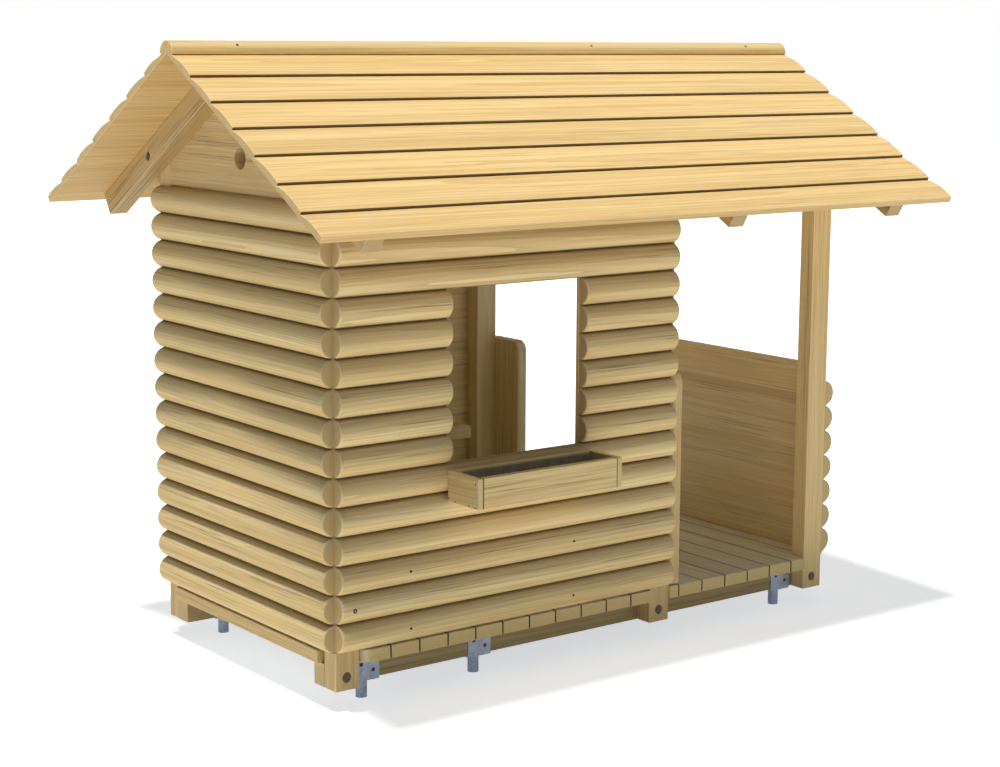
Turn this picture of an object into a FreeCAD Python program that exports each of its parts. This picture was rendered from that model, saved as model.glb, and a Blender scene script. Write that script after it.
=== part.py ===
import FreeCAD, Part
import os
from math import cos, radians, sin, tan

from FreeCAD import Vector

# A small timber cabin with an open veranda, in millimetres, +Z up.
# Within this file X = 0 is the outer face of the left posts, Y = 0 the front face of
# the front posts and Z = 0 the underside of the lowest wall log. Each shape is moved
# on export so that the origin is the bottom centre of the whole building.

# Frame
CABIN_LENGTH = 1496.0        # left post face to the right face of the middle posts
VERANDA_LENGTH = 820.0       # middle posts to the right face of the right posts
FRAME_WIDTH = 1165.0         # front post face to back post face
POST_WIDE = 95.0             # post size along X
POST_DEEP = 70.0             # post size along Y
FOOT_DROP = 137.0            # feet below the lowest log
JOIST_DEEP = 65.0            # joist size along Y
FOOT_BOLT_RADIUS = 18.0      # sunk bolt hole in each foot
FOOT_BOLT_HIGH = 46.0        # its centre above the foot
RAFTER_BOLT_RADIUS = 16.5    # sunk bolt hole in each rafter
BOLT_SUNK = 18.0             # depth of the sunk holes

# Floor
DECK_THICK = 45.5
DECK_BELOW_LOGS = 7.5        # deck surface below the lowest log
DECK_BOARD = 115.0
DECK_GAP = 5.0
DECK_FIRST_SEAM = 102.0      # left edge of the first whole board
DECK_FRONT_LAP = 10.0        # deck past the post faces, front and back
DECK_SIDE_LAP = 16.0         # deck past the left posts
DECK_END_LAP = 61.0          # deck past the right posts, under the low wall
DECK_CORNER_RADIUS = 200.0
POST_NOTCH_GAP = 3.0         # deck clear of the posts

# Half logs
LOG_PITCH = 100.0
LOG_SEAM = 0.5
LOG_DEPTH = 48.0
LOG_LIP = 6.0                # flat edge where two logs meet
WALL_LOG_COUNT = 16
GABLE_LOG_COUNT = 15
LOW_WALL_LOG_COUNT = 7
LOGS_SHORT = 11.0            # long wall logs stop before the middle posts' right face

# Window in the front wall
WINDOW_LEFT = 457.0
WINDOW_WIDE = 586.0
SILL_LOG_COUNT = 6           # logs below the window
JAMB_LOG_COUNT = 6           # logs beside the window
BATTEN_WIDE = 70.0
BATTEN_DEEP = 20.0
BATTEN_LAP = 80.0            # batten past the window, above and below

# Doorway panels and the veranda rail
PANEL_THICK = 45.0
PANEL_HIGH = 815.0
PANEL_WIDE = 222.0
PANEL_CORNER = 40.0
PANEL_OUT = 8.0              # panel past the post faces
RAIL_THICK = 45.0
RAIL_HIGH = 125.0
RAIL_TOP = 767.0

# Roof
ROOF_PITCH = 30.5            # degrees
EAVE_OUT = 366.0             # underside of the eave in front of the posts
EAVE_HIGH = 1424.0           # underside of the eave above the lowest log
ROOF_LEFT = 275.5            # roof past the left posts
ROOF_RIGHT = 263.0           # roof past the right posts
ROOF_BOARD = 158.0
ROOF_EAVE_BOARD = 136.0
ROOF_BOARD_COUNT = 7
ROOF_SEAM = 0.5
ROOF_THICK = 27.0            # at the crown of each board
ROOF_THIN_EDGE = 13.5
ROOF_BUTT = 24.0
RAFTER_WIDE = 70.0
RAFTER_DEEP = 86.5
RAFTER_SET_BACK = 47.0       # rafter end behind the eave, along the slope
RAFTER_TAIL_RADIUS = 8.0
ROOF_SEAT = 0.3              # clearance under the boards
CAP_HALF_WIDE = 44.0
CAP_HIGH = 49.0
CAP_LIP = 5.0                # lower edges of the ridge cap clear of its seats
CAP_SEAT_HALF_WIDE = 36.0    # part of the groove that bears on the boards
CAP_SEAT = 53.0              # flat part of the uppermost boards, down from the ridge
CAP_SEAT_THICK = 16.5

# Gable planks
GABLE_PLANK = 120.0
GABLE_PLANK_THICK = 45.0
GABLE_PLANK_COUNT = 4
GABLE_BASE = 1505.0          # underside of the lowest plank
GABLE_HOLE_RADIUS = 37.5
GABLE_CLEAR = 0.3

# Planter under the window
PLANTER_LEFT = 430.0
PLANTER_LONG = 632.0
PLANTER_OUT = 175.0          # out from the log faces
PLANTER_HIGH = 106.0
PLANTER_BASE = 476.0         # underside above the lowest log
PLANTER_BOARD = 25.0
PLANTER_END_BOARD = 20.0
LINER_THICK = 3.0
LINER_CLEAR = 0.3
LINER_DROP = 6.0             # liner rim below the board tops

# Bench in the cabin
BENCH_END_GAP = 156.0        # open end of the bench to the middle posts
BENCH_DEEP = 240.0
BENCH_THICK = 52.0
BENCH_TOP = 500.0
BENCH_CLEAT = 45.0
BENCH_CORNER = 12.0          # rounded upper edge at the open end

# Ground anchors under the joists
ANCHOR_LEFT = 170.0          # from the left end of the frame
ANCHOR_MIDDLE = 650.0
ANCHOR_RIGHT = 161.0         # from the right end of the frame
ANCHOR_PLATE_WIDE = 100.0
ANCHOR_PLATE_HIGH = 74.0
ANCHOR_PLATE_THICK = 5.0
ANCHOR_PIPE_RADIUS = 20.0
ANCHOR_PIPE_WALL = 3.2
ANCHOR_BELOW_FEET = 71.0
PLATE_HOLE = 9.0             # square bolt holes in each plate
PLATE_HOLES = ((-24.0, 60.0), (25.0, 35.0))   # along the plate, above its lower edge

OVERCUT = 1.0                # cutting shapes past the faces they cut

# Lines worked out from the sizes above
FRAME_LENGTH = CABIN_LENGTH + VERANDA_LENGTH
DECK_TOP = -DECK_BELOW_LOGS
DECK_BOTTOM = DECK_TOP - DECK_THICK
FOOT = -FOOT_DROP
SLOPE = radians(ROOF_PITCH)
RIDGE_Y = FRAME_WIDTH / 2
RIDGE_RUN = (RIDGE_Y + EAVE_OUT) / cos(SLOPE)
WINDOW_RIGHT = WINDOW_LEFT + WINDOW_WIDE
WINDOW_BOTTOM = SILL_LOG_COUNT * LOG_PITCH
WINDOW_TOP = WINDOW_BOTTOM + JAMB_LOG_COUNT * LOG_PITCH
GROUND = FOOT - ANCHOR_BELOW_FEET
ORIGIN = Vector((FRAME_LENGTH + ROOF_RIGHT - ROOF_LEFT) / 2, RIDGE_Y, GROUND)


def export(node, *solids):
    shape = solids[0] if len(solids) == 1 else Part.makeCompound(list(solids))
    shape.translated(-ORIGIN).exportStep("parts/" + node + ".step")


def block(x, y, z):
    """A box from three (low, high) pairs."""
    return Part.makeBox(x[1] - x[0], y[1] - y[0], z[1] - z[0], Vector(x[0], y[0], z[0]))


def prism(outline, direction):
    """A solid from a closed list of points, pushed along a vector."""
    return Part.Face(Part.makePolygon(outline + outline[:1])).extrude(direction)


def arc(start, middle, end):
    return Part.Arc(start, middle, end).toShape()


def line(start, end):
    return Part.makeLine(start, end)


def mirrored(shape):
    """The same piece on the other side of the ridge."""
    return shape.mirror(Vector(0, RIDGE_Y, 0), Vector(0, 1, 0))


def half_log(start, run, outward):
    """A half-round log: start is the lower inner corner of one end, run its length."""
    high = LOG_PITCH - LOG_SEAM
    inner_low = start
    outer_low = start + outward * LOG_LIP
    crown = start + outward * LOG_DEPTH + Vector(0, 0, high / 2)
    outer_high = outer_low + Vector(0, 0, high)
    inner_high = inner_low + Vector(0, 0, high)
    outline = Part.Wire([line(inner_low, outer_low), arc(outer_low, crown, outer_high),
                         line(outer_high, inner_high), line(inner_high, inner_low)])
    return Part.Face(outline).extrude(run)


def log_courses(start, run, outward, first, count):
    return [half_log(start + Vector(0, 0, (first + i) * LOG_PITCH), run, outward) for i in range(count)]


def roof_point(run, rise, x):
    """A point on the front slope: run up from the eave, rise square to the underside."""
    return Vector(x, -EAVE_OUT + run * cos(SLOPE) - rise * sin(SLOPE),
                  EAVE_HIGH + run * sin(SLOPE) + rise * cos(SLOPE))


def underside(y):
    """Height of the roof underside on the front slope."""
    return EAVE_HIGH + (y + EAVE_OUT) * tan(SLOPE)


def beyond_ridge():
    reach = 4 * RIDGE_RUN
    return block((-reach, reach), (RIDGE_Y, RIDGE_Y + reach), (-reach, reach))


# Posts, joists and rafters

def post(left):
    roof = underside(0) - ROOF_SEAT / cos(SLOPE)
    outline = [Vector(left, 0, FOOT), Vector(left, POST_DEEP, FOOT),
               Vector(left, POST_DEEP, roof + POST_DEEP * tan(SLOPE)), Vector(left, 0, roof)]
    bolt = Part.makeCylinder(FOOT_BOLT_RADIUS, BOLT_SUNK,
                             Vector(left + POST_WIDE / 2, 0, FOOT + FOOT_BOLT_HIGH), Vector(0, 1, 0))
    return prism(outline, Vector(POST_WIDE, 0, 0)).cut(bolt)


def joist():
    return block((0, FRAME_LENGTH), (POST_DEEP, POST_DEEP + JOIST_DEEP), (FOOT, DECK_BOTTOM))


def rafter(left, side):
    """A front rafter; side is the direction of its outer face, where its bolt is sunk."""
    upper = 2 * RIDGE_RUN
    low = -ROOF_SEAT - RAFTER_DEEP
    outline = [roof_point(RAFTER_SET_BACK, low, left), roof_point(upper, low, left),
               roof_point(upper, -ROOF_SEAT, left), roof_point(RAFTER_SET_BACK, -ROOF_SEAT, left)]
    beam = prism(outline, Vector(RAFTER_WIDE, 0, 0))
    tail = [edge for edge in beam.Edges
            if edge.BoundBox.XLength > RAFTER_WIDE / 2 and edge.BoundBox.YMax < POST_DEEP - EAVE_OUT / 2]
    face = left if side < 0 else left + RAFTER_WIDE
    middle = underside(POST_DEEP / 2) - (ROOF_SEAT + RAFTER_DEEP / 2) / cos(SLOPE)
    bolt = Part.makeCylinder(RAFTER_BOLT_RADIUS, BOLT_SUNK, Vector(face, POST_DEEP / 2, middle),
                             Vector(-side, 0, 0))
    return beam.makeFillet(RAFTER_TAIL_RADIUS, tail).cut([beyond_ridge(), bolt])


def make_frame():
    posts = {"left": 0, "middle": CABIN_LENGTH - POST_WIDE, "right": FRAME_LENGTH - POST_WIDE}
    rafters = {"left": -RAFTER_WIDE, "middle": CABIN_LENGTH, "right": FRAME_LENGTH}
    for place, left in posts.items():
        export("post_front_" + place, post(left))
        export("post_back_" + place, mirrored(post(left)))
    for place, left in rafters.items():
        beam = rafter(left, -1 if place == "left" else 1)
        export("rafter_front_" + place, beam)
        export("rafter_back_" + place, mirrored(beam))
    export("joist_front", joist())
    export("joist_back", mirrored(joist()))


# Floor

def deck_outline():
    """The platform with its two left corners rounded in plan."""
    front = -DECK_FRONT_LAP
    back = FRAME_WIDTH + DECK_FRONT_LAP
    platform = block((-DECK_SIDE_LAP, FRAME_LENGTH + DECK_END_LAP), (front, back), (DECK_BOTTOM, DECK_TOP))
    corners = [edge for edge in platform.Edges
               if edge.BoundBox.XMax < 0 and edge.BoundBox.ZLength > DECK_THICK / 2]
    return platform.makeFillet(DECK_CORNER_RADIUS, corners)


def deck_post_notches():
    notches = []
    for left in (0, CABIN_LENGTH - POST_WIDE, FRAME_LENGTH - POST_WIDE):
        across = (left - POST_NOTCH_GAP, left + POST_WIDE + POST_NOTCH_GAP)
        if left == 0:
            across = (-2 * DECK_SIDE_LAP, across[1])
        if left == FRAME_LENGTH - POST_WIDE:
            across = (across[0], FRAME_LENGTH + 2 * DECK_END_LAP)
        notch = block(across, (-2 * DECK_FRONT_LAP, POST_DEEP + POST_NOTCH_GAP),
                      (DECK_BOTTOM - OVERCUT, DECK_TOP + OVERCUT))
        notches += [notch, mirrored(notch)]
    return notches


def deck_boards():
    platform = deck_outline().cut(deck_post_notches())
    pitch = DECK_BOARD + DECK_GAP
    boards = []
    left = DECK_FIRST_SEAM - pitch
    while left < FRAME_LENGTH + DECK_END_LAP:
        strip = block((left, left + DECK_BOARD), (-2 * DECK_FRONT_LAP, FRAME_WIDTH + 2 * DECK_FRONT_LAP),
                      (DECK_BOTTOM - OVERCUT, DECK_TOP + OVERCUT))
        boards += platform.common(strip).Solids
        left += pitch
    return boards


def make_deck():
    boards = deck_boards()
    inside = [board for board in boards if board.CenterOfMass.x < CABIN_LENGTH]
    outside = [board for board in boards if board.CenterOfMass.x >= CABIN_LENGTH]
    export("cabin_deck", *inside)
    export("veranda_deck", *outside)


# Log walls

def make_log_walls():
    front, back = Vector(0, -1, 0), Vector(0, 1, 0)
    left, right = Vector(-1, 0, 0), Vector(1, 0, 0)
    end = CABIN_LENGTH - LOGS_SHORT
    whole = Vector(end, 0, 0)
    across = Vector(0, FRAME_WIDTH, 0)
    above = SILL_LOG_COUNT + JAMB_LOG_COUNT
    corner = Vector(0, 0, 0)
    export("front_wall_lower_logs", *log_courses(corner, whole, front, 0, SILL_LOG_COUNT))
    export("front_wall_left_logs",
           *log_courses(corner, Vector(WINDOW_LEFT, 0, 0), front, SILL_LOG_COUNT, JAMB_LOG_COUNT))
    export("front_wall_right_logs",
           *log_courses(Vector(WINDOW_RIGHT, 0, 0), Vector(end - WINDOW_RIGHT, 0, 0), front,
                        SILL_LOG_COUNT, JAMB_LOG_COUNT))
    export("front_wall_upper_logs", *log_courses(corner, whole, front, above, WALL_LOG_COUNT - above))
    export("back_wall_logs", *log_courses(Vector(0, FRAME_WIDTH, 0), whole, back, 0, WALL_LOG_COUNT))
    export("gable_wall_logs", *log_courses(corner, across, left, 0, GABLE_LOG_COUNT))
    export("low_wall_logs", *log_courses(Vector(FRAME_LENGTH, 0, 0), across, right, 0, LOW_WALL_LOG_COUNT))


def make_window_battens():
    high = (WINDOW_BOTTOM - BATTEN_LAP, WINDOW_TOP + BATTEN_LAP)
    export("window_battens", block((WINDOW_LEFT - BATTEN_WIDE, WINDOW_LEFT), (0, BATTEN_DEEP), high),
           block((WINDOW_RIGHT, WINDOW_RIGHT + BATTEN_WIDE), (0, BATTEN_DEEP), high))


# Doorway panels and veranda rail

def doorway_panel():
    panel = block((CABIN_LENGTH, CABIN_LENGTH + PANEL_THICK), (-PANEL_OUT, PANEL_WIDE), (0, PANEL_HIGH))
    corners = [edge for edge in panel.Edges
               if edge.BoundBox.XLength > PANEL_THICK / 2 and edge.BoundBox.ZMin > PANEL_HIGH / 2]
    return panel.makeFillet(PANEL_CORNER, corners)


def make_panels():
    export("doorway_panel_front", doorway_panel())
    export("doorway_panel_back", mirrored(doorway_panel()))
    export("low_wall_rail", block((FRAME_LENGTH - RAIL_THICK, FRAME_LENGTH),
                                  (POST_DEEP, FRAME_WIDTH - POST_DEEP), (RAIL_TOP - RAIL_HIGH, RAIL_TOP)))


# Roof

def roof_board(low, high, edge, x, length):
    """A board between two runs up the slope, flat below and crowned on top."""
    middle = (low + high) / 2
    foot_low, foot_high = roof_point(low, 0, x), roof_point(high, 0, x)
    top_high, top_low = roof_point(high, edge, x), roof_point(low, ROOF_BUTT, x)
    crown = roof_point(middle, ROOF_THICK, x)
    outline = Part.Wire([line(foot_low, foot_high), line(foot_high, top_high),
                         arc(top_high, crown, top_low), line(top_low, foot_low)])
    return Part.Face(outline).extrude(Vector(length, 0, 0))


def roof_runs():
    """Lower and upper run of each board, from the eave to the flat seat of the ridge cap."""
    lows = [0] + [ROOF_EAVE_BOARD + i * ROOF_BOARD for i in range(ROOF_BOARD_COUNT - 1)]
    highs = [low - ROOF_SEAM for low in lows[1:]] + [RIDGE_RUN - CAP_SEAT]
    return list(zip(lows, highs))


def cap_seat(x, length):
    """The flat strip of an uppermost board, from its crowned part to beyond the ridge."""
    low, high = RIDGE_RUN - CAP_SEAT, 2 * RIDGE_RUN
    outline = [roof_point(low, 0, x), roof_point(high, 0, x),
               roof_point(high, CAP_SEAT_THICK, x), roof_point(low, CAP_SEAT_THICK, x)]
    return prism(outline, Vector(length, 0, 0))


def make_roof():
    length = ROOF_LEFT + FRAME_LENGTH + ROOF_RIGHT
    edges = [ROOF_THIN_EDGE] * (ROOF_BOARD_COUNT - 1) + [CAP_SEAT_THICK]
    boards = [roof_board(low, high, edge, -ROOF_LEFT, length)
              for (low, high), edge in zip(roof_runs(), edges)]
    top = boards[-1].fuse(cap_seat(-ROOF_LEFT, length)).removeSplitter()
    boards[-1] = top.cut(beyond_ridge())
    export("roof_boards_front", *boards)
    export("roof_boards_back", *[mirrored(board) for board in boards])
    export("ridge_cap", ridge_cap(length))


def ridge_cap(length):
    """A half log with a groove that sits on the flat strips of the two uppermost boards."""
    def seat(out):
        height = underside(RIDGE_Y - abs(out)) + (CAP_SEAT_THICK + ROOF_SEAT) / cos(SLOPE)
        return Vector(-ROOF_LEFT, RIDGE_Y + out, height)

    up = Vector(0, 0, CAP_LIP)
    front, back = seat(-CAP_HALF_WIDE) + up, seat(CAP_HALF_WIDE) + up
    bearing_front, groove, bearing_back = seat(-CAP_SEAT_HALF_WIDE), seat(0), seat(CAP_SEAT_HALF_WIDE)
    top = Vector(-ROOF_LEFT, RIDGE_Y, front.z - CAP_LIP + CAP_HIGH)
    outline = Part.Wire([line(front, bearing_front), line(bearing_front, groove), line(groove, bearing_back),
                         line(bearing_back, back), arc(back, top, front)])
    return Part.Face(outline).extrude(Vector(length, 0, 0))


# Gables

def gable_planks(left, count):
    """Planks between the posts, one above another, cut to the slopes at their ends."""
    apex = underside(RIDGE_Y) - ROOF_SEAT / cos(SLOPE)
    fall = RIDGE_Y * tan(SLOPE)
    slopes = prism([Vector(left, 0, apex - fall), Vector(left, FRAME_WIDTH, apex - fall),
                    Vector(left, RIDGE_Y, apex)], Vector(GABLE_PLANK_THICK, 0, 0))
    side = (POST_DEEP + GABLE_CLEAR, FRAME_WIDTH - POST_DEEP - GABLE_CLEAR)
    planks = []
    for i in range(count):
        low = GABLE_BASE + i * GABLE_PLANK
        plank = block((left, left + GABLE_PLANK_THICK), side, (low, low + GABLE_PLANK - LOG_SEAM))
        planks.append(plank.common(slopes.fuse(block((left, left + GABLE_PLANK_THICK), side,
                                                     (0, apex - fall)))))
    return planks


def make_gables():
    planks = gable_planks(0, GABLE_PLANK_COUNT)
    hole = Part.makeCylinder(GABLE_HOLE_RADIUS, 3 * GABLE_PLANK_THICK,
                             Vector(-GABLE_PLANK_THICK, RIDGE_Y, GABLE_BASE + GABLE_PLANK), Vector(1, 0, 0))
    export("gable_plank_lowest", planks[0].cut(hole))
    export("gable_plank_second", planks[1].cut(hole))
    export("gable_planks_upper", *planks[2:])
    export("veranda_gable_planks", *gable_planks(FRAME_LENGTH - GABLE_PLANK_THICK, GABLE_PLANK_COUNT))


# Planter

def make_planter():
    left, right = PLANTER_LEFT, PLANTER_LEFT + PLANTER_LONG
    back, front = -LOG_DEPTH, -LOG_DEPTH - PLANTER_OUT
    base, top = PLANTER_BASE, PLANTER_BASE + PLANTER_HIGH
    board = PLANTER_BOARD
    between = (left + PLANTER_END_BOARD, right - PLANTER_END_BOARD)
    export("planter_end_boards", block((left, between[0]), (front, back), (base, top)),
           block((between[1], right), (front, back), (base, top)))
    export("planter_long_boards", block(between, (front, front + board), (base, top)),
           block(between, (back - board, back), (base, top)))
    export("planter_base", block(between, (front + board, back - board), (base, base + board)))
    x = (between[0] + LINER_CLEAR, between[1] - LINER_CLEAR)
    y = (front + board + LINER_CLEAR, back - board - LINER_CLEAR)
    z = (base + board + LINER_CLEAR, top - LINER_DROP)
    wall = LINER_THICK
    inside = block((x[0] + wall, x[1] - wall), (y[0] + wall, y[1] - wall), (z[0] + wall, z[1] + wall))
    export("planter_liner", block(x, y, z).cut(inside))


# Bench

def make_bench():
    right = CABIN_LENGTH - POST_WIDE - BENCH_END_GAP
    under = BENCH_TOP - BENCH_THICK
    seat = block((POST_WIDE, right), (FRAME_WIDTH - BENCH_DEEP, FRAME_WIDTH), (under, BENCH_TOP))
    corner = [edge for edge in seat.Edges
              if edge.BoundBox.XMin > right - BENCH_CORNER and edge.BoundBox.ZMin > BENCH_TOP - BENCH_CORNER]
    export("bench_seat", seat.makeFillet(BENCH_CORNER, corner))
    export("bench_cleat", block((POST_WIDE, right - BENCH_CLEAT), (FRAME_WIDTH - BENCH_CLEAT, FRAME_WIDTH),
                                (under - BENCH_CLEAT, under)))


# Ground anchors

def ground_anchor(place):
    """A plate on the joist, a flange under it and a pipe that goes into the ground."""
    across = (place - ANCHOR_PLATE_WIDE / 2, place + ANCHOR_PLATE_WIDE / 2)
    under = FOOT - ANCHOR_PLATE_THICK
    depth = (POST_DEEP - ANCHOR_PLATE_THICK, POST_DEEP)
    plate = block(across, depth, (under, under + ANCHOR_PLATE_HIGH))
    holes = [block((place + along - PLATE_HOLE / 2, place + along + PLATE_HOLE / 2), depth,
                   (under + up - PLATE_HOLE / 2, under + up + PLATE_HOLE / 2)) for along, up in PLATE_HOLES]
    flange = block(across, (POST_DEEP, POST_DEEP + JOIST_DEEP), (under, FOOT))
    middle = Vector(place, POST_DEEP + JOIST_DEEP / 2, GROUND)
    length = under - GROUND
    pipe = Part.makeCylinder(ANCHOR_PIPE_RADIUS, length, middle)
    bore = Part.makeCylinder(ANCHOR_PIPE_RADIUS - ANCHOR_PIPE_WALL, length, middle)
    return plate.cut(holes).fuse([flange, pipe.cut(bore)]).removeSplitter()


def make_anchors():
    places = {"left": ANCHOR_LEFT, "middle": ANCHOR_MIDDLE, "right": FRAME_LENGTH - ANCHOR_RIGHT}
    for name, place in places.items():
        export("ground_anchor_front_" + name, ground_anchor(place))
        export("ground_anchor_back_" + name, mirrored(ground_anchor(place)))


os.makedirs("parts", exist_ok=True)
make_frame()
make_deck()
make_log_walls()
make_window_battens()
make_panels()
make_roof()
make_gables()
make_planter()
make_bench()
make_anchors()
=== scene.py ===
from math import cos, pi, radians, sin
from random import Random

import bpy
from mathutils import Matrix, Vector


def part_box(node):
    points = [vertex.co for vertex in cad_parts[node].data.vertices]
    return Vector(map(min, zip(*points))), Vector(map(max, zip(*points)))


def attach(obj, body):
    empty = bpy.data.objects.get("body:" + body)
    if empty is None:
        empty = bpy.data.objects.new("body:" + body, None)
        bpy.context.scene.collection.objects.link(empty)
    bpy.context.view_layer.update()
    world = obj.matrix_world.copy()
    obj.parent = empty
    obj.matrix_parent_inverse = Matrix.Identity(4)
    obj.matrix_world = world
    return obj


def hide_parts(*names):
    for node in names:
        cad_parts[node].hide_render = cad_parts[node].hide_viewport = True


# A small timber cabin with an open veranda. Lengths and places are in millimetres of the
# builder's own measure unless a line says otherwise: X = 0 at the outer face of the left
# posts, Y = 0 at the front face of the front posts, Z = 0 under the lowest wall log.

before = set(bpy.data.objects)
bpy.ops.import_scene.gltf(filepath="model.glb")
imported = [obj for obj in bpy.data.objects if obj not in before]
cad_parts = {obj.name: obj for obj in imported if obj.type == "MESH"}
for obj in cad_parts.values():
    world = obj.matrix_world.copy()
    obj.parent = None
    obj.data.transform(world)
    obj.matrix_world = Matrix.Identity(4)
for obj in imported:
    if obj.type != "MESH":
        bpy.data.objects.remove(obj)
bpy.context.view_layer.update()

MM = 0.001
ORIGIN = Vector((1151.75, 582.5, -208.0))
FRAME_LENGTH, FRAME_WIDTH = 2316.0, 1165.0
CABIN_LENGTH = 1496.0
FOOT = -137.0                       # the posts' lower ends
POST_LEFTS, POST_HALF = (0, 1401, 2221), 47.5
LOG_PITCH, LOG_SEAM, LOG_DEPTH, LOG_LIP = 100.0, 0.5, 48.0, 6.0
LOWEST_LOG_DROP = 7.2               # from the low wall's lowest log to the deck under it
WALL_LOG_END = 1485.0
WINDOW_LEFT, WINDOW_RIGHT = 457.0, 1043.0
ROOF_PITCH = radians(30.5)
EAVE_OUT, EAVE_HIGH = 366.0, 1424.0
ROOF_EAVE_BOARD, ROOF_BOARD = 136.0, 158.0
DECK_LEFT, DECK_PITCH = -18.0, 120.0
DECK_EDGE_LEFT, DECK_EDGE_RIGHT, DECK_LAP = -16.0, 2377.0, 10.0
DECK_SEAMS_FROM, DECK_SHARP_FROM = 60.0, 195.0
GABLE_BASE, GABLE_PLANK = 1505.0, 120.0
HALF_SEAM = 0.25                    # of the roof boards and the gable planks

X, Y, Z = Vector((1, 0, 0)), Vector((0, 1, 0)), Vector((0, 0, 1))
UP_FRONT_SLOPE = Vector((0, cos(ROOF_PITCH), sin(ROOF_PITCH)))
UP_BACK_SLOPE = Vector((0, -cos(ROOF_PITCH), sin(ROOF_PITCH)))


def at(x, y, z):
    """A place in the cabin's own millimetres, as metres in the frame."""
    return (Vector((x, y, z)) - ORIGIN) * MM


def activate(piece):
    """Makes one object the only selected one."""
    bpy.ops.object.select_all(action="DESELECT")
    piece.select_set(True)
    bpy.context.view_layer.objects.active = piece


def link(name, mesh):
    """A new object in the scene, at the origin, from a mesh, a lens or a lamp."""
    piece = bpy.data.objects.new(name, mesh)
    bpy.context.scene.collection.objects.link(piece)
    return piece


def pick(piece, kind, test):
    """Selects, in edit mode, the points, edges or faces of a mesh that pass a test."""
    bpy.ops.object.mode_set(mode="EDIT")
    bpy.ops.mesh.select_mode(type=kind)
    bpy.ops.mesh.select_all(action="DESELECT")
    bpy.ops.object.mode_set(mode="OBJECT")
    points = piece.data.vertices
    if kind == "VERT":
        for point in points:
            point.select = test(point.co / MM + ORIGIN)
    elif kind == "EDGE":
        for edge in piece.data.edges:
            edge.select = test(*(points[i].co / MM + ORIGIN for i in edge.vertices))
    else:
        for face in piece.data.polygons:
            face.select = test(face)
    bpy.ops.object.mode_set(mode="EDIT")


def dress(piece, material, slot, *replaced):
    """Finishes one piece: its wood or metal, the body it rides on and what it stands for."""
    piece.data.materials.clear()
    piece.data.materials.append(material)
    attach(piece, "root")
    if replaced:
        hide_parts(*replaced)


bpy.ops.object.select_all(action="DESELECT")


# Camera, at the place and with the lens that the picture was taken from

CAMERA_PLACE = (-3511.87, -5534.04, 2032.28)
CAMERA_TURN, CAMERA_DIP, CAMERA_ROLL = radians(37.19338), radians(9.64419), radians(0.28902)
CAMERA_LENS, CAMERA_SENSOR = 72.8002, 36.0


def make_camera():
    ahead = Vector((sin(CAMERA_TURN) * cos(CAMERA_DIP), cos(CAMERA_TURN) * cos(CAMERA_DIP),
                    -sin(CAMERA_DIP)))
    level_right = ahead.cross(Z).normalized()
    level_up = level_right.cross(ahead)
    right = level_right * cos(CAMERA_ROLL) + level_up * sin(CAMERA_ROLL)
    up = level_up * cos(CAMERA_ROLL) - level_right * sin(CAMERA_ROLL)
    lens = bpy.data.cameras.new("picture_camera")
    lens.lens, lens.sensor_width, lens.sensor_fit = CAMERA_LENS, CAMERA_SENSOR, "HORIZONTAL"
    camera = link("picture_camera", lens)
    turn = Matrix((right, up, -ahead)).transposed().to_4x4()
    camera.matrix_world = Matrix.Translation(at(*CAMERA_PLACE)) @ turn
    bpy.context.scene.camera = camera


# Shader recipes

class Signal:
    """A shader socket that takes Python arithmetic and adds a Math node for each step."""

    def __init__(self, recipe, socket):
        self.recipe, self.socket = recipe, socket

    def math(self, operation, *values):
        return self.recipe.add("ShaderNodeMath", {"operation": operation}, dict(enumerate(values)))

    def __add__(self, other):
        return self.math("ADD", self, other)

    def __sub__(self, other):
        return self.math("SUBTRACT", self, other)

    def __rsub__(self, other):
        return self.math("SUBTRACT", other, self)

    def __mul__(self, other):
        return self.math("MULTIPLY", self, other)

    def __truediv__(self, other):
        return self.math("DIVIDE", self, other)

    def __mod__(self, other):
        return self.math("FLOORED_MODULO", self, other)

    def __abs__(self):
        return self.math("ABSOLUTE", self)

    def whole(self):
        return self.math("FLOOR", self)

    def greater(self, other):
        return self.math("MAXIMUM", self, other)

    __radd__, __rmul__ = __add__, __mul__


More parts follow.
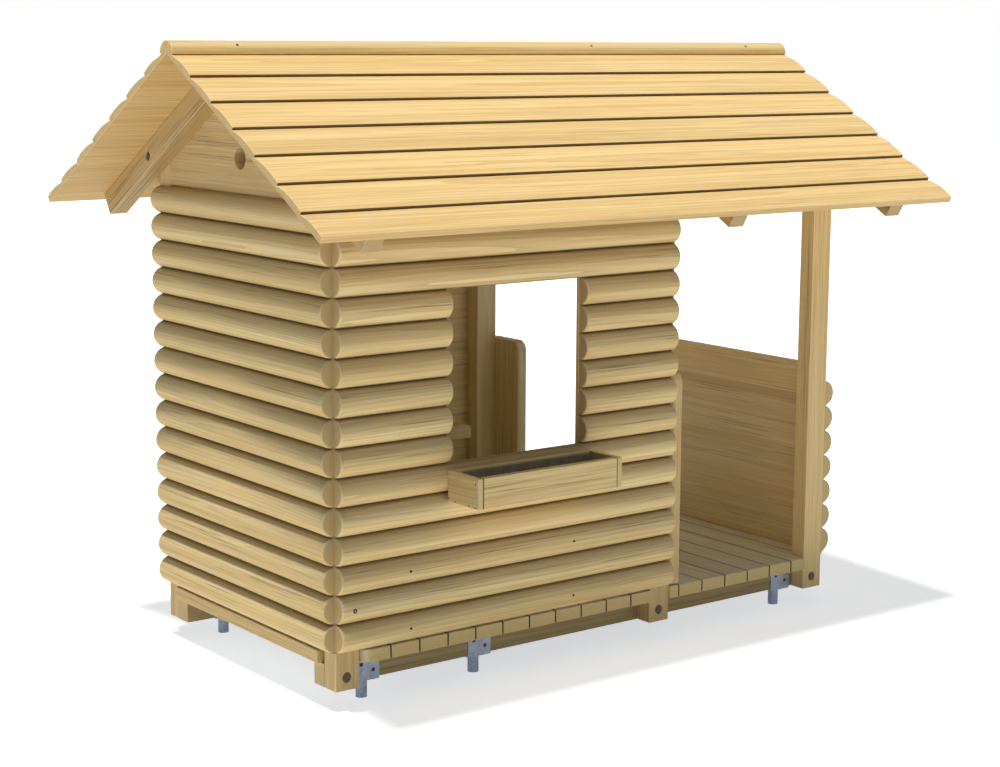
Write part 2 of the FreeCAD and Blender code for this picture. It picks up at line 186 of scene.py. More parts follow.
class Recipe:
    """A node material, or the world's sky, under construction."""

    def __init__(self, name, tree=None):
        if tree is None:
            self.material = bpy.data.materials.new(name)
            self.material.use_nodes = True
            tree = self.material.node_tree
        self.tree = tree
        tree.nodes.clear()

    def add(self, kind, settings=None, sockets=None, output=0):
        """One node: its type, its settings, its sockets' values or links, and the output wanted."""
        node = self.tree.nodes.new(kind)
        for key, value in (settings or {}).items():
            if key == "stops":
                ramp = node.color_ramp
                while len(ramp.elements) < len(value):
                    ramp.elements.new(1.0)
                for element, (place, colour) in zip(ramp.elements, value):
                    element.position, element.color = place, colour
            else:
                setattr(node, key, value)
        for key, value in (sockets or {}).items():
            if isinstance(value, Signal):
                self.tree.links.new(value.socket, node.inputs[key])
            else:
                node.inputs[key].default_value = value
        return Signal(self, node.outputs[output])

    def object_place(self):
        return self.add("ShaderNodeTexCoord", {}, {}, "Object")

    def dot(self, vector, direction):
        return self.add("ShaderNodeVectorMath", {"operation": "DOT_PRODUCT"},
                        {0: vector, 1: direction}, "Value")

    def vector(self, x, y, z):
        return self.add("ShaderNodeCombineXYZ", {}, {0: x, 1: y, 2: z})

    def length(self, vector):
        return self.add("ShaderNodeVectorMath", {"operation": "LENGTH"}, {0: vector}, "Value")

    def shade(self, colour, amount):
        return self.add("ShaderNodeVectorMath", {"operation": "SCALE"}, {0: colour, "Scale": amount})

    def tint(self, colour, factors):
        return self.add("ShaderNodeVectorMath", {"operation": "MULTIPLY"}, {0: colour, 1: factors})

    def mix(self, amount, first, second):
        return self.add("ShaderNodeMix", {"data_type": "RGBA"}, {0: amount, 6: first, 7: second}, 2)

    def ramp(self, value, *stops):
        return self.add("ShaderNodeValToRGB", {"stops": stops}, {0: value})

    def steps(self, value, low, high):
        """0 below low, 1 above high and smooth between them."""
        return self.add("ShaderNodeMapRange", {"interpolation_type": "SMOOTHSTEP"},
                        {0: value, 1: low, 2: high, 3: 0.0, 4: 1.0})

    def noise(self, vector, scale, detail, roughness=0.5, output=0):
        return self.add("ShaderNodeTexNoise", {}, {"Vector": vector, "Scale": scale, "Detail": detail,
                                                   "Roughness": roughness}, output)

    def channels(self, colour):
        """A colour's red, green and blue as three values."""
        node = self.add("ShaderNodeSeparateColor", {}, {0: colour}).socket.node
        return [Signal(self, node.outputs[i]) for i in range(3)]

    def bump(self, height, depth, strength):
        """A relief whose full height is depth, in metres."""
        return self.add("ShaderNodeBump", {}, {"Strength": strength, "Distance": depth, "Height": height})

    def direct_rays(self):
        """1 for what the camera, a reflection or clear glass sees, 0 for light on its way."""
        path = self.add("ShaderNodeLightPath").socket.node
        seen = sum(Signal(self, path.outputs[ray]) for ray in
                   ("Is Camera Ray", "Is Glossy Ray", "Is Transmission Ray"))
        return seen.math("MINIMUM", seen, 1.0)

    def surface(self, sockets):
        shader = self.add("ShaderNodeBsdfPrincipled", {}, sockets)
        self.output(shader, "ShaderNodeOutputMaterial")
        return self.material

    def output(self, surface, kind):
        node = self.tree.nodes.new(kind)
        self.tree.links.new(surface.socket, node.inputs["Surface"])


def grey(value):
    return (value, value, value, 1.0)


# Pine, sawn or turned from a stem whose rings run through the timber

EVEN = (1.0, 1.0, 1.0)
EARLY_DEEP = (0.74, 0.505, 0.200, 1.0)
EARLY = (0.84, 0.605, 0.262, 1.0)
EARLY_PALE = (0.91, 0.695, 0.345, 1.0)
LATE = (0.52, 0.315, 0.110, 1.0)
CRACK = (0.25, 0.150, 0.055, 1.0)
# colour of the painted highlight on edges
ARRIS_HIGHLIGHT = (0.95, 0.77, 0.45, 1.0)
# colour of the dark joint lines and of the painted shade beside the seams
SEAM_AND_SHADE = (0.085, 0.050, 0.018, 1.0)
END_PALE = (0.66, 0.485, 0.225, 1.0)
END_DEEP = (0.40, 0.265, 0.105, 1.0)
# colour of the painted shade on the half logs' upper sides
UPPER_SHADE_GREY = (0.30, 0.265, 0.185, 1.0)

# Figure of the wood: changes a metre along the grain and across it
STREAKS, FIBRES, WANDER = (0.9, 34.0), (6.0, 430.0), (0.45, 1.0)
PATCHES, LINES = (1.1, 13.0), (2.4, 210.0)
FIGURE_SHIFT = (37.0, 53.0, 29.0)       # how far apart the timbers' figures can lie
PITH_SWAY, PITH_DEPTH_SWAY = 0.05, 0.02     # metres
RELIEF_DEPTH = 0.0007                   # metres

# Half logs, in parts of a log's height: painted grey shade on the upper side, band with cracks, painted
# shade on the lip and crest
GREY_FROM, GREY_FULL = 0.38, 0.95
BAND_LOW, BAND_HIGH = (0.42, 0.55), (0.78, 0.90)
LIP_SHADE, CREST_SHADE, GROOVE_LINE = (0.040, 0.075), (0.90, 0.985), (0.010, 0.025)
FLAT_BACK = (0.0005, 0.0025)            # metres from the inner face
BESIDE_SEAM = (0.045, 0.055)
TIP_LINE = (0.0045, 0.0035)             # metres from a board's end
# where the painted shade on the deck boards' sides ends
SIDE_SHADE_END = at(DECK_EDGE_RIGHT - 4, 0, 0).x


def pine(name, grain, middle, rows=None, tone=EVEN, broad=None, ring_gap=6.0, pith=80.0, lines=0.5,
         ends=0.9, end_tone=EVEN, arris=0.55, flat_arris=False, under=1.0, dark_sides=None,
         dark_butts=False, dark_tips=None, half_log=False):
    """Pine whose grain runs along one direction, around a middle given in metres.

    rows counts the timbers of one piece: a direction, a start in metres and a pitch; each timber
    gets its own figure. tone tints the wood, and on some pieces it is painted light or painted
    shade for the light they stand in; broad tints, as painted light, the faces across
    one direction. ends is how much the sawn ends show and end_tone their tint. ring_gap and pith, in
    millimetres, are the width of a year's ring and how far the stem's core lies behind the middle.
    lines is the strength of the fine cracks, arris that of the painted highlight on the edges, which
    flat_arris keeps to the ends, and under the share of colour that painted shade leaves on the
    underside. dark_sides and dark_butts paint shade on the sides beside the rows and
    on the lower edges of roof boards, and dark_tips darkens a joint line at both ends of a board."""
    recipe = Recipe(name)
    place = recipe.object_place()
    normal = recipe.add("ShaderNodeTexCoord", {}, {}, "Normal")
    side = rows[0] if rows else (Z if abs(grain.x) > 0.5 else X)
    back = grain.cross(side)
    along, across, through = (recipe.dot(place, axis) for axis in (grain, side, back))
    face = [abs(recipe.dot(normal, axis)) for axis in (grain, side, back)]
    if rows:
        start, pitch = rows[1:]
        row = (across - start) / pitch
        number = row.whole()
        row = row - number
        offset = (row - 0.5) * pitch
        seed = Random(name).uniform(1.0, 9.0)
        chance = recipe.channels(recipe.add("ShaderNodeTexWhiteNoise", {"noise_dimensions": "1D"},
                                            {"W": number + seed}, "Color"))
    else:
        luck = Random(name)
        chance = [luck.random() for i in range(3)]
        offset = across - middle.dot(side)
    deep = through - middle.dot(back)

    def figure(length_scale, width_scale, detail, roughness=0.5, output=0):
        """Noise drawn out along the grain, other for each timber."""
        return recipe.noise(recipe.vector(along * length_scale + chance[0] * FIGURE_SHIFT[0],
                                          offset * width_scale + chance[1] * FIGURE_SHIFT[1],
                                          deep * width_scale + chance[2] * FIGURE_SHIFT[2]),
                            1.0, detail, roughness, output)

    streak = figure(*STREAKS, 3.0, 0.6)
    fibre = figure(*FIBRES, 1.0)
    wander = recipe.channels(figure(*WANDER, 1.0, 0.5, "Color"))
    core = recipe.vector(
        offset + (wander[0] - 0.5) * PITH_SWAY + (chance[1] - 0.5) * PITH_SWAY,
        deep + (wander[1] - 0.5) * PITH_DEPTH_SWAY + (chance[2] * 0.6 + 0.7) * pith * MM, 0.0)
    ring = (recipe.length(core) / (ring_gap * MM) + (streak - 0.5) * 0.9) % 1.0
    late = ring * ring * ring

    colour = recipe.ramp(streak, (0.30, EARLY_DEEP), (0.5, EARLY), (0.70, EARLY_PALE))
    colour = recipe.mix(late * (streak * 0.8), colour, LATE)
    patch = recipe.steps(figure(*PATCHES, 1.0), 0.42, 0.60)
    line = recipe.steps(figure(*LINES, 2.0, 0.6), 0.55, 0.66) * patch
    if half_log:
        outside = recipe.steps(abs(deep), *FLAT_BACK)
        band = recipe.steps(row, *BAND_LOW) * (1.0 - recipe.steps(row, *BAND_HIGH))
        line = line * (outside * band + (1.0 - outside) * 0.6)
    colour = recipe.mix(line * lines, colour, CRACK)
    colour = recipe.shade(colour, fibre * 0.30 + 0.85)
    if half_log:
        # painted shade: each log's upper side turns a darker grey towards the seam above
        colour = recipe.mix(recipe.steps(row, GREY_FROM, GREY_FULL) * outside * 0.42, colour, UPPER_SHADE_GREY)
        # painted highlight: a light rim where the log's end rounds off
        rim = recipe.steps(face[0], 0.25, 0.50) * (1.0 - recipe.steps(face[0], 0.75, 0.92)) * 0.3
        # painted shade under each log's lip and on its crest below the seam; on the flat back only a dark
        # joint line
        lip, crest = 1.0 - recipe.steps(row, *LIP_SHADE), recipe.steps(row, *CREST_SHADE)
        groove = 1.0 - recipe.steps(0.5 - abs(row - 0.5), *GROOVE_LINE)
        seam_and_shade = (lip * 0.74 + crest * 0.36) * outside + groove * (1.0 - outside) * 0.18
    else:
        flattest = face[0].greater(face[1].greater(face[2]))
        # painted highlight on the planed-off edges
        rim = 1.0 - recipe.steps(flattest, 0.80, 0.93)
        seam_and_shade = None
    if flat_arris:
        rim = rim * recipe.steps(face[0], 0.20, 0.45)
    # painted shade: the undersides of the roof boards are darkened
    if under < 1.0:
        below = recipe.steps(recipe.dot(normal, -back if back.z > 0 else back), 0.5, 0.8)
        colour = recipe.shade(colour, 1.0 - below * (1.0 - under))
    colour = recipe.shade(colour, (chance[1] - 0.5) * 0.09 + 1.0)
    plain = recipe.tint(colour, tone)
    # painted light: the faces across one direction get a lighter, paler tint
    if broad:
        facing = recipe.steps(abs(recipe.dot(normal, broad[0])), 0.70, 0.90)
        colour = recipe.mix(facing, plain, recipe.tint(colour, broad[1]))
    else:
        colour = plain
    end = recipe.tint(recipe.mix(late * 0.9 + fibre * 0.1, END_PALE, END_DEEP), end_tone)
    sawn = recipe.steps(face[0], 0.80, 0.96)
    colour = recipe.mix(sawn * ends, colour, end)
    # mixes in the painted edge highlight
    colour = recipe.mix(rim * arris, colour, [a * b for a, b in zip(ARRIS_HIGHLIGHT, (*tone, 1.0))])
    # painted shade on the boards' sides in the gaps between rows
    if dark_sides is not None:
        within = 1.0 - recipe.steps(across, SIDE_SHADE_END, SIDE_SHADE_END + 0.0005)
        beside = 1.0 - recipe.steps(0.5 - abs(row - 0.5), *BESIDE_SEAM)
        seam_and_shade = sum(recipe.steps(face[1], low, high) * recipe.steps(across, start, start + 0.01) * weight
                   for start, low, high, weight in dark_sides) * within * beside
    # painted shade on the roof boards' down-slope butt faces, in all rows but the lowest
    if dark_butts:
        downhill = recipe.steps(recipe.dot(normal, -side), 0.80, 0.95)
        seam_and_shade = downhill * recipe.steps(number, 0.4, 0.6)
    if dark_tips is not None:
        from_middle = abs(along - middle.dot(grain))
        seam_and_shade = recipe.steps(from_middle, dark_tips - TIP_LINE[0], dark_tips - TIP_LINE[1])
    # mixes in the dark joint lines and the painted shade beside the seams
    if seam_and_shade is not None:
        colour = recipe.mix(seam_and_shade * 0.9, colour, SEAM_AND_SHADE)

    relief = recipe.bump(fibre * 0.5 + late * 0.3 - line * 0.8, RELIEF_DEPTH, 0.35)
    return recipe.surface({"Base Color": colour, "Roughness": fibre * 0.14 + 0.52, "Normal": relief,
                           "Specular IOR Level": 0.3})


# Steel and plastic

def galvanised():
    recipe = Recipe("galvanised_steel")
    place = recipe.object_place()
    spangle = recipe.add("ShaderNodeTexVoronoi", {}, {"Vector": place, "Scale": 160.0}, "Color")
    cloud = recipe.noise(place, 45.0, 3.0)
    grain = recipe.channels(spangle)[0]
    colour = recipe.ramp(cloud * 0.6 + grain * 0.25 + 0.05, (0.30, (0.32, 0.37, 0.475, 1.0)),
                         (0.60, (0.46, 0.53, 0.65, 1.0)))
    return recipe.surface({"Base Color": colour, "Roughness": cloud * 0.2 + 0.42, "Metallic": 0.3,
                           "Normal": recipe.bump(cloud, 0.0005, 0.15)})


def bolt_steel(name, deep, pale, metallic):
    recipe = Recipe(name)
    cloud = recipe.noise(recipe.object_place(), 300.0, 3.0)
    colour = recipe.ramp(cloud, (0.3, deep), (0.7, pale))
    return recipe.surface({"Base Color": colour, "Roughness": cloud * 0.2 + 0.45, "Metallic": metallic})


def liner_plastic():
    recipe = Recipe("planter_liner")
    cloud = recipe.noise(recipe.object_place(), 30.0, 4.0)
    colour = recipe.ramp(cloud, (0.3, (0.32, 0.26, 0.16, 1.0)), (0.7, (0.46, 0.385, 0.25, 1.0)))
    return recipe.surface({"Base Color": colour, "Roughness": cloud * 0.2 + 0.5,
                           "Normal": recipe.bump(cloud, 0.001, 0.2)})


# Floor, sky and light

SUN_FROM = Vector((-0.185, -0.047, 1.0))
SUN_STRENGTH, SUN_WIDTH = 2.95, radians(5.0)
SKY_TINT = (0.66, 0.80, 1.0, 1.0)
SKY_OVERHEAD, SKY_LOW = 0.10, 0.34
SKY_LOW_ENDS = 0.7                  # height of the direction where the overhead sky is reached
FLOOR_SIZE, FLOOR_DROP = 60.0, 0.0006   # metres
FLOOR_WHITE, FLOOR_GLOW = 0.90, (0.595, 0.611, 0.626, 1.0)


def make_stage():
    bpy.ops.mesh.primitive_plane_add(size=FLOOR_SIZE, location=(0, 0, -FLOOR_DROP))
    floor = bpy.context.active_object
    floor.name = "floor"
    recipe = Recipe("floor")
    seen = recipe.direct_rays()
    matt = recipe.add("ShaderNodeBsdfDiffuse", {}, {"Color": grey(FLOOR_WHITE)})
    glow = recipe.add("ShaderNodeEmission", {}, {"Color": FLOOR_GLOW, "Strength": 1.0})
    bright = recipe.add("ShaderNodeAddShader", {}, {0: matt, 1: glow})
    recipe.output(recipe.add("ShaderNodeMixShader", {}, {0: seen, 1: matt, 2: bright}),
                  "ShaderNodeOutputMaterial")
    floor.data.materials.append(recipe.material)

    world = bpy.data.worlds.new("sky")
    world.use_nodes = True
    bpy.context.scene.world = world
    recipe = Recipe("sky", world.node_tree)
    direct = recipe.direct_rays()
    height = recipe.dot(recipe.add("ShaderNodeTexCoord", {}, {}, "Generated"), Z)
    strength = SKY_LOW + recipe.steps(height, 0.0, SKY_LOW_ENDS) * (SKY_OVERHEAD - SKY_LOW)
    sky = recipe.add("ShaderNodeBackground", {}, {
        "Color": recipe.mix(direct, SKY_TINT, grey(1.0)),
        "Strength": direct + (1.0 - direct) * strength})
    recipe.output(sky, "ShaderNodeOutputWorld")

    sun = bpy.data.lights.new("high_sun", "SUN")
    sun.energy, sun.angle = SUN_STRENGTH, SUN_WIDTH
    lamp = link("high_sun", sun)
    lamp.rotation_euler = SUN_FROM.to_track_quat("Z", "Y").to_euler()
    bpy.context.scene.view_settings.view_transform = "Standard"


# Half logs with rounded ends, modelled once for each length and copied up each wall

LOG_ROUNDING = 10.0
LOG_HIGH = LOG_PITCH - LOG_SEAM
LOG_RADIUS = ((LOG_HIGH / 2) ** 2 + (LOG_DEPTH - LOG_LIP) ** 2) / (2 * (LOG_DEPTH - LOG_LIP))
LOG_SIDES = 72


def model_half_log(length):
    """A half log along +X from the origin, its flat back on Y = 0 and its crown towards -Y."""
    bpy.ops.object.select_all(action="DESELECT")
    bpy.ops.mesh.primitive_cylinder_add(
        vertices=LOG_SIDES, radius=LOG_RADIUS * MM, depth=length * MM, rotation=(0, pi / 2, 0),
        location=(length / 2 * MM, (LOG_RADIUS - LOG_DEPTH) * MM, LOG_HIGH / 2 * MM))
    log = bpy.context.active_object
    bpy.ops.object.transform_apply(location=True, rotation=True, scale=True)
    bpy.ops.object.mode_set(mode="EDIT")
    for place, away in ((0, Y), (0, -Z), (LOG_HIGH * MM, Z)):
        bpy.ops.mesh.select_all(action="SELECT")
        bpy.ops.mesh.bisect(plane_co=Z * place, plane_no=away, use_fill=True, clear_outer=True)
    crowned = ORIGIN.y - LOG_LIP + 0.2
    pick(log, "EDGE", lambda a, b: abs(a.x - b.x) < 0.01 and max(a.y, b.y) < crowned)
    bpy.ops.mesh.bevel(offset=LOG_ROUNDING * MM, segments=3, profile=0.5, clamp_overlap=False)
    bpy.ops.object.mode_set(mode="OBJECT")
    bpy.ops.object.shade_smooth_by_angle(angle=radians(40))
    bpy.ops.object.modifier_add(type="WEIGHTED_NORMAL")
    log.modifiers[-1].keep_sharp = True
    bpy.ops.object.modifier_apply(modifier=log.modifiers[-1].name)
    return log


def stack_logs(name, node, length, start, turn, first, count, material):
    """Copies of one half log, one above another, joined into a wall that stands for a node."""
    pattern = model_half_log(length)
    logs = []
    for i in range(first, first + count):
        log = link(name, pattern.data.copy())
        log.data.transform(Matrix.Translation(at(*start, i * LOG_PITCH)) @ Matrix.Rotation(turn, 4, "Z"))
        logs.append(log)
    bpy.data.objects.remove(pattern)
    activate(logs[0])
    for log in logs:
        log.select_set(True)
    bpy.ops.object.join()
    wall = bpy.context.active_object
    wall.name = name
    dress(wall, material, "half_logs", node)
    return wall


def make_log_walls():
    def log_pine(name, grain, x, y, tone, end_tone=EVEN):
        return pine(name, grain, at(x, y, 0), (Z, at(0, 0, 0).z, LOG_PITCH * MM), tone, ring_gap=5.0,
                    pith=18.0, lines=0.7, end_tone=end_tone, half_log=True)

    face_front, face_back, face_left, face_right = 0.0, pi, -pi / 2, pi / 2
    # the walls' tones differ as painted light: the front, back and low walls are lighter and paler than
    # the gable for the light each gets
    pine_front = log_pine("front_wall_pine", X, 0, 0, (1.14, 1.18, 1.22))
    for name, node, length, left, first, count in (
            ("front_logs_lower", "front_wall_lower_logs", WALL_LOG_END, 0, 0, 6),
            ("front_logs_left", "front_wall_left_logs", WINDOW_LEFT, 0, 6, 6),
            ("front_logs_right", "front_wall_right_logs", WALL_LOG_END - WINDOW_RIGHT, WINDOW_RIGHT, 6, 6),
            ("front_logs_upper", "front_wall_upper_logs", WALL_LOG_END, 0, 12, 4)):
        stack_logs(name, node, length, (left, 0), face_front, first, count, pine_front)
    stack_logs("back_logs", "back_wall_logs", WALL_LOG_END, (WALL_LOG_END, FRAME_WIDTH), face_back, 0, 16,
               log_pine("back_wall_pine", X, 0, FRAME_WIDTH, (1.14, 1.28, 1.55)))
    stack_logs("gable_logs", "gable_wall_logs", FRAME_WIDTH, (0, FRAME_WIDTH), face_left, 0, 15,
               log_pine("gable_wall_pine", Y, 0, 0, (1.06, 1.08, 1.06)))
    low_wall = stack_logs(
        "low_wall_half_logs", "low_wall_logs", FRAME_WIDTH, (FRAME_LENGTH, 0), face_right, 0, 7,
        log_pine("low_wall_pine", Y, FRAME_LENGTH, 0, (1.09, 1.12, 1.21), (1.3, 1.3, 1.24)))
    activate(low_wall)
    pick(low_wall, "VERT", lambda point: point.z < 0.6)
    bpy.ops.transform.translate(value=(0, 0, -LOWEST_LOG_DROP * MM))
    bpy.ops.object.mode_set(mode="OBJECT")


# Sawn timbers, each with its arrises taken off

def clean_mesh():
    """Merges double points and takes out the edges that divide flat faces."""
    bpy.ops.mesh.select_mode(type="VERT")
    bpy.ops.mesh.select_all(action="SELECT")
    bpy.ops.mesh.remove_doubles(threshold=0.00002)
    bpy.ops.mesh.dissolve_limited(angle_limit=radians(1.0))


def ease(node, width, material, slot, reshape=None):
    """A timber of the frame with its sharp edges planed off, which stands for its node."""
    piece = link(node + "_timber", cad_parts[node].data.copy())
    activate(piece)
    bpy.ops.object.mode_set(mode="EDIT")
    clean_mesh()
    if reshape:
        reshape(piece)
    bpy.ops.mesh.select_mode(type="EDGE")
    bpy.ops.mesh.select_all(action="DESELECT")
    bpy.ops.mesh.edges_select_sharp(sharpness=radians(40))
    bpy.ops.mesh.bevel(offset=width * MM, segments=1, clamp_overlap=False)
    bpy.ops.object.mode_set(mode="OBJECT")
    bpy.ops.object.shade_smooth_by_angle(angle=radians(28))
    dress(piece, material, slot, node)


SIDE_BOARD_FRONT, SIDE_BOARD_PUSHED, SIDE_BOARD_RADIUS = 88.0, 15.0, 40.0
SECOND_BOARD_LEFT, SECOND_BOARD_RADIUS = 102.0, 55.0


def shape_deck_corners(piece):
    """Squares the deck's left corners and rounds the two board ends beside the front left post."""
    for test, flatten, plane in (
            (lambda p: p.x < 60 and not 195 < p.y < 970, (0, 1, 1), at(DECK_EDGE_LEFT, 0, 0)),
            (lambda p: 100 < p.x < 186 and p.y > 1100, (1, 0, 1), at(0, FRAME_WIDTH + DECK_LAP, 0)),
            (lambda p: 100 < p.x < 186 and p.y < 40, (1, 0, 1), at(0, -DECK_LAP, 0))):
        pick(piece, "VERT", test)
        bpy.ops.transform.resize(value=flatten, center_override=plane)
    pick(piece, "VERT", lambda p: p.x < 99 and p.y < 80)
    bpy.ops.transform.translate(value=(0, SIDE_BOARD_PUSHED * MM, 0))
    clean_mesh()
    for x, y, radius in ((DECK_EDGE_LEFT, SIDE_BOARD_FRONT, SIDE_BOARD_RADIUS),
                         (SECOND_BOARD_LEFT, -DECK_LAP, SECOND_BOARD_RADIUS)):
        pick(piece, "EDGE", lambda a, b: abs(a.z - b.z) > 20 and (a.xy - Vector((x, y))).length < 3)
        bpy.ops.mesh.bevel(offset=radius * MM, segments=10, clamp_overlap=False)


def middle_of(node):
    low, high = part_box(node)
    return (Vector(low) + Vector(high)) / 2


def timber(node, grain, width, slot, reshape=None, **finish):
    """One timber, or a pair, cut from wood of its own."""
    ease(node, width, pine(node + "_pine", grain, middle_of(node), **finish), slot, reshape)


def make_timbers():
    # painted light: pieces inside the cabin get a lighter, paler tone, and the open front right post a
    # lighter one, for the light they stand in
    indoor_painted_light, open_air_painted_light = (1.12, 1.32, 1.75), (1.17, 1.17, 1.17)
    for side, climb in (("front", UP_FRONT_SLOPE), ("back", UP_BACK_SLOPE)):
        # painted shade: the joists under the deck's edge are darkened, their sawn ends less so
        timber("joist_" + side, X, 2.0, "frame_timber", tone=(0.60, 0.605, 0.61),
               end_tone=(1.25, 1.25, 1.2))
        for place in ("left", "middle", "right"):
            post_tone = EVEN if side == "front" or place == "left" else indoor_painted_light
            if side == "front" and place == "right":
                post_tone = open_air_painted_light
            timber("post_{}_{}".format(side, place), Z, 2.5, "frame_timber", pith=45.0, tone=post_tone)
            timber("rafter_{}_{}".format(side, place), climb, 2.5, "frame_timber", pith=45.0,
                   tone=(0.775, 0.76, 0.74), lines=0.8)

    # painted shade in the gaps between the deck boards
    floor_rows = (X, at(DECK_LEFT, 0, 0).x, DECK_PITCH * MM)
    # painted light on the deck boards' tops
    deck_finish = {"rows": floor_rows, "tone": (1.06, 1.08, 1.06), "broad": (Z, (1.19, 1.65, 3.3)),
                   "end_tone": (1.32, 1.34, 1.26), "arris": 0.8, "flat_arris": True,
                   "dark_sides": ((at(DECK_SEAMS_FROM, 0, 0).x, 0.93, 0.99, 1.0),
                                  (at(DECK_SHARP_FROM, 0, 0).x, 0.55, 0.70, 0.45))}
    timber("cabin_deck", Y, 1.4, "deck_boards", shape_deck_corners, **deck_finish)
    timber("veranda_deck", Y, 1.4, "deck_boards", **deck_finish)

    for side, climb, sign in (("front", UP_FRONT_SLOPE, -1), ("back", UP_BACK_SLOPE, 1)):
        eave = at(0, FRAME_WIDTH / 2 + sign * (FRAME_WIDTH / 2 + EAVE_OUT), EAVE_HIGH)
        first_seam = eave.dot(climb) + (ROOF_EAVE_BOARD - ROOF_BOARD - HALF_SEAM) * MM
        # the roof boards' butt faces get painted shade
        timber("roof_boards_" + side, X, 1.2, "roof_boards", rows=(climb, first_seam, ROOF_BOARD * MM),
               tone=(1.14, 1.09, 1.03), lines=0.3, ends=0.5, under=0.83, dark_butts=True)
    timber("ridge_cap", X, 1.2, "ridge_log", pith=10.0, ends=0.0, tone=(1.07, 1.0, 0.86))

    plank_rows = (Z, at(0, 0, GABLE_BASE - HALF_SEAM).z, GABLE_PLANK * MM)
    for node in ("gable_plank_lowest", "gable_plank_second", "gable_planks_upper", "veranda_gable_planks"):
        # painted shade on the plank edges in the gaps between the gable planks
        timber(node, Y, 1.2, "planed_boards", rows=plank_rows, tone=(0.89, 0.89, 0.87), lines=0.85,
               dark_sides=((-9.0, 0.55, 0.70, 1.0),))
    for node, grain, width, tone in (
            ("window_battens", Z, 2.0, EVEN), ("doorway_panel_front", Z, 4.0, EVEN),
            ("low_wall_rail", Y, 3.0, (1.18, 1.20, 1.18)), ("planter_base", X, 1.2, EVEN),
            ("bench_seat", X, 3.0, indoor_painted_light), ("bench_cleat", X, 2.0, indoor_painted_light)):
        timber(node, grain, width, "planed_boards", tone=tone)
    # painted light on the doorway panel's faces across X
    timber("doorway_panel_back", Z, 4.0, "planed_boards", tone=indoor_painted_light, broad=(X, (1.25, 1.5, 2.2)))
    low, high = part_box("planter_long_boards")
    # painted light on the planter boards' tops
    planter_top_light = (Z, (1.18, 1.5, 2.2))
    timber("planter_long_boards", X, 1.2, "planed_boards", tone=(1.17, 1.19, 1.2), broad=planter_top_light,
           dark_tips=(high[0] - low[0]) / 2)
    timber("planter_end_boards", Y, 1.5, "planed_boards", tone=(0.88, 0.91, 0.96), broad=planter_top_light,
           end_tone=(1.5, 1.5, 1.45), arris=0.8)


# Bolts and screws

BOLT_SUNK, FOOT_BOLT_UP = 18.0, 46.0
FOOT_BOLT_RADIUS, RAFTER_BOLT_RADIUS = 17.6, 16.2
RAFTER_OUT, RAFTER_MIDDLE, RAFTER_BOLT_HIGH = 70.0, 35.0, 1608.2
PROUD = 0.4                         # how far a screw's head stands out of the wood
WALL_SCREW_X, WALL_SCREW_Z, WALL_SCREW_DEEP = (276, 990), (51, 252), 3.0
RIDGE_SCREW_X, RIDGE_SCREW_YZ = (-21, 1540, 2360), (550.3, 2011.4)
RIDGE_SCREW_LEAN = Vector((0, -0.70, 0.71))
PLANTER_ENDS = ((430.0, -X), (1062.0, X))
PLANTER_SCREW_YZ = ((-206, 562), (-53, 486), (-90, 482), (-168, 481), (-206, 481))
CORNER_BOLT_XZ, CORNER_BOLT_BEDDED = (50, 150), 3.0
ANCHOR_X, ANCHOR_FACE, ANCHOR_PLATE_LOW = (170, 650, 2155), 65.0, FOOT - 5
PLATE_HOLES = ((-24, 60), (25, 35))     # along a plate and above its lower edge


def model_turned(name, radius, depth, sides, softened, recess=None, turn=0.0):
    """A disc or nut along +Z on the origin, its rim softened. recess, the radius and depth of a
    hollow in its top, and the other lengths are in millimetres."""
    bpy.ops.object.select_all(action="DESELECT")
    bpy.ops.mesh.primitive_cylinder_add(vertices=sides, radius=radius * MM, depth=depth * MM,
                                        location=(0, 0, depth / 2 * MM), rotation=(0, 0, turn))
    part = bpy.context.active_object
    part.name = name
    bpy.ops.object.transform_apply(location=True, rotation=True, scale=True)
    pick(part, "FACE", lambda face: face.normal.z > 0.9)
    bpy.ops.mesh.bevel(offset=softened * MM, segments=2, affect="EDGES", clamp_overlap=False)
    if recess:
        pick(part, "FACE", lambda face: face.normal.z > 0.99 and face.center.z > (depth - 0.01) * MM)
        bpy.ops.mesh.inset(thickness=(radius - softened - recess[0]) * MM)
        bpy.ops.mesh.extrude_region_move(TRANSFORM_OT_translate={"value": (0, 0, -recess[1] * MM)})
    bpy.ops.object.mode_set(mode="OBJECT")
    bpy.ops.object.shade_smooth_by_angle(angle=radians(32))
    return part


def model_bolt(radius):
    """A washer, a nut and the end of its bolt, standing on the bottom of a sunk hole."""
    washer = model_turned("washer", radius, BOLT_SUNK - 4.5, 32, 0.6)
    nut = model_turned("nut", 9.5, BOLT_SUNK - 2.0, 6, 1.2)
    stud = model_turned("stud", 4.5, BOLT_SUNK - 1.2, 20, 1.0)
    activate(washer)
    nut.select_set(True)
    stud.select_set(True)
    bpy.ops.object.join()
    return washer


def place_copies(name, pattern, places, material):
    """Copies of one fixing, each on a place and pointing along a direction."""
    for i, (place, direction) in enumerate(places, 1):
        copy = link("{}_{:02d}".format(name, i), pattern.data.copy())
        turn = direction.to_track_quat("Z", "Y").to_matrix().to_4x4()
        copy.data.transform(Matrix.Translation(at(*place)) @ turn)
        dress(copy, material, "galvanised_steel")
    bpy.data.objects.remove(pattern)


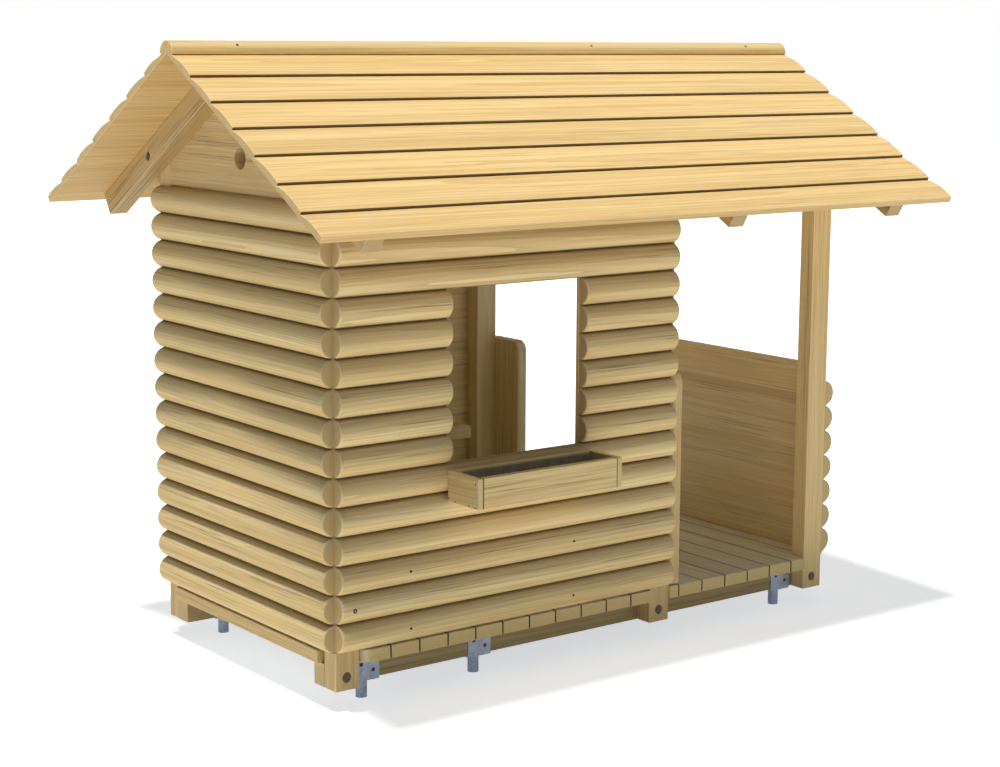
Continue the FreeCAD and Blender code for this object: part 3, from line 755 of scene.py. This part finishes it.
def make_fixings(pale_steel):
    brown = bolt_steel("brown_bolt_steel", (0.085, 0.052, 0.026, 1.0), (0.17, 0.11, 0.06, 1.0), 0.4)
    steel = bolt_steel("black_bolt_steel", (0.018, 0.014, 0.011, 1.0), (0.045, 0.034, 0.026, 1.0), 0.1)
    foot_bolts, rafter_bolts = [], []
    for left in POST_LEFTS:
        foot_bolts.append(((left + POST_HALF, BOLT_SUNK, FOOT + FOOT_BOLT_UP), -Y))
        foot_bolts.append(((left + POST_HALF, FRAME_WIDTH - BOLT_SUNK, FOOT + FOOT_BOLT_UP), Y))
    for x, outward in ((-RAFTER_OUT + BOLT_SUNK, -X), (CABIN_LENGTH + RAFTER_OUT - BOLT_SUNK, X),
                       (FRAME_LENGTH + RAFTER_OUT - BOLT_SUNK, X)):
        for y in (RAFTER_MIDDLE, FRAME_WIDTH - RAFTER_MIDDLE):
            rafter_bolts.append(((x, y, RAFTER_BOLT_HIGH), outward))
    place_copies("foot_bolt", model_bolt(FOOT_BOLT_RADIUS), foot_bolts, brown)
    place_copies("rafter_bolt", model_bolt(RAFTER_BOLT_RADIUS), rafter_bolts, brown)

    crown = LOG_DEPTH + PROUD - WALL_SCREW_DEEP
    screws = [((x, -crown, z), -Y) for x in WALL_SCREW_X for z in WALL_SCREW_Z]
    screws += [((x, FRAME_WIDTH + crown, z), Y) for x in WALL_SCREW_X for z in WALL_SCREW_Z]
    sunk = RIDGE_SCREW_LEAN * (WALL_SCREW_DEEP - PROUD)
    screws += [(Vector((x, *RIDGE_SCREW_YZ)) - sunk, RIDGE_SCREW_LEAN) for x in RIDGE_SCREW_X]
    place_copies("wall_screw", model_turned("screw", 5.0, WALL_SCREW_DEEP, 20, 0.5, (2.4, 0.3)),
                 screws, steel)

    small = [((x - outward.x * 1.8, *place), outward) for x, outward in PLANTER_ENDS
             for place in PLANTER_SCREW_YZ]
    place_copies("planter_screw", model_turned("small_screw", 3.0, 2.0, 16, 0.4, (1.4, 0.15)),
                 small, steel)

    x, z = CORNER_BOLT_XZ
    bed = LOG_DEPTH - CORNER_BOLT_BEDDED
    pegs = [((x, -bed, z), -Y), ((x, FRAME_WIDTH + bed, z), Y)]
    place_copies("corner_bolt", model_turned("corner_bolt", 8.0, 4.0, 28, 0.8, (3.0, 0.5)), pegs, steel)
    place_copies("corner_bolt_core", model_turned("corner_bolt_core", 2.6, 4.2, 16, 0.3),
                 pegs, pale_steel)

    # painted shade: dark steel squares in the anchor plates' holes stand in for the shade inside the holes
    hole_shades = []
    bedded = ANCHOR_FACE + 1.0
    for place in ANCHOR_X:
        for along, up in PLATE_HOLES:
            hole_shades.append(((place + along, bedded, ANCHOR_PLATE_LOW + up), -Y))
            hole_shades.append(((place + along, FRAME_WIDTH - bedded, ANCHOR_PLATE_LOW + up), Y))
    place_copies("plate_hole_shade", model_turned("plate_hole_shade", 8.5, 2.5, 4, 0.4, turn=pi / 4), hole_shades, steel)


def dress_steel_and_liner(steel):
    """Gives the anchors and the planter's liner, which keep their CAD meshes, their materials."""
    for name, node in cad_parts.items():
        if name.startswith("ground_anchor"):
            node.data.materials.clear()
            node.data.materials.append(steel)
    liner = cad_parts["planter_liner"]
    liner.data.materials.clear()
    liner.data.materials.append(liner_plastic())


make_camera()
make_stage()
make_log_walls()
make_timbers()
galvanised_steel = galvanised()
make_fixings(galvanised_steel)
dress_steel_and_liner(galvanised_steel)

bpy.context.view_layer.update()
